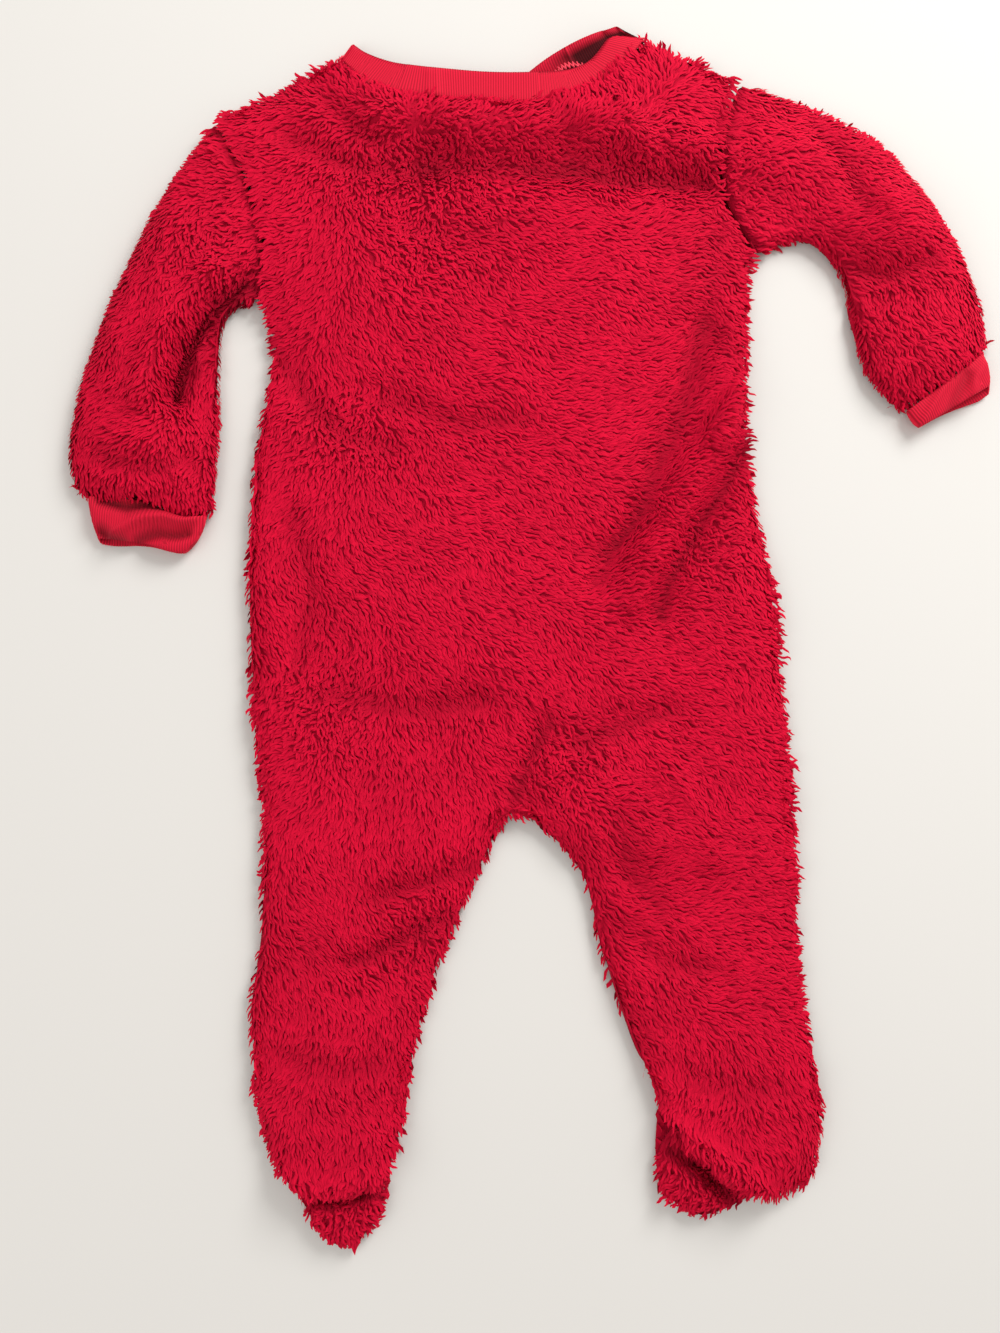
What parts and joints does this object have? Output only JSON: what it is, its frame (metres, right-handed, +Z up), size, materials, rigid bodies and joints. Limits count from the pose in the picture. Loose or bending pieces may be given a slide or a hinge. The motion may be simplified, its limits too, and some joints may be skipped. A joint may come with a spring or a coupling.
{
  "type": "footed plush onesie pajama",
  "caption": "Baby's long-sleeved footed sleeper in curly plush with rib-knit neckband and cuffs, laid flat with its back upwards.",
  "frame": {"origin": "under the centre of the laid-out garment, on the surface that it lies on", "axes": "+X to the wearer's right, +Y from the feet to the neck, +Z up from the surface, out of the wearer's back"},
  "size_m": [0.4952, 0.649, 0.026],
  "materials": {
    "plush": "curly high-pile polyester plush, matt with soft sheen on the tips",
    "rib": "fine cotton rib knit, matt",
    "zip_tape": "woven polyester tape and nylon coil, matt",
    "zip_metal": "die-cast slider in satin red enamel"
  },
  "bodies": {
    "garment": {"back": "plush", "front_left": "plush", "front_right": "plush", "sleeve_left": "plush", "sleeve_right": "plush", "cuff_left": "rib", "cuff_right": "rib", "neckband": "rib", "foot_top_left": "plush", "foot_top_right": "plush", "sole_left": "plush", "sole_right": "plush", "zip_tape_left": "zip_tape", "zip_tape_right": "zip_tape", "zip_chain": "zip_tape", "zip_slider": "zip_metal"},
    "pull": {"zip_pull": "zip_metal"}
  },
  "joints": [
    {"name": "pull_hinge", "type": "hinge", "parent": "garment", "child": "pull", "pos_m": [-0.01667, 0.26782, 0.0017], "axis": [1, 0, 0], "range_deg": [0, 165]}
  ]
}
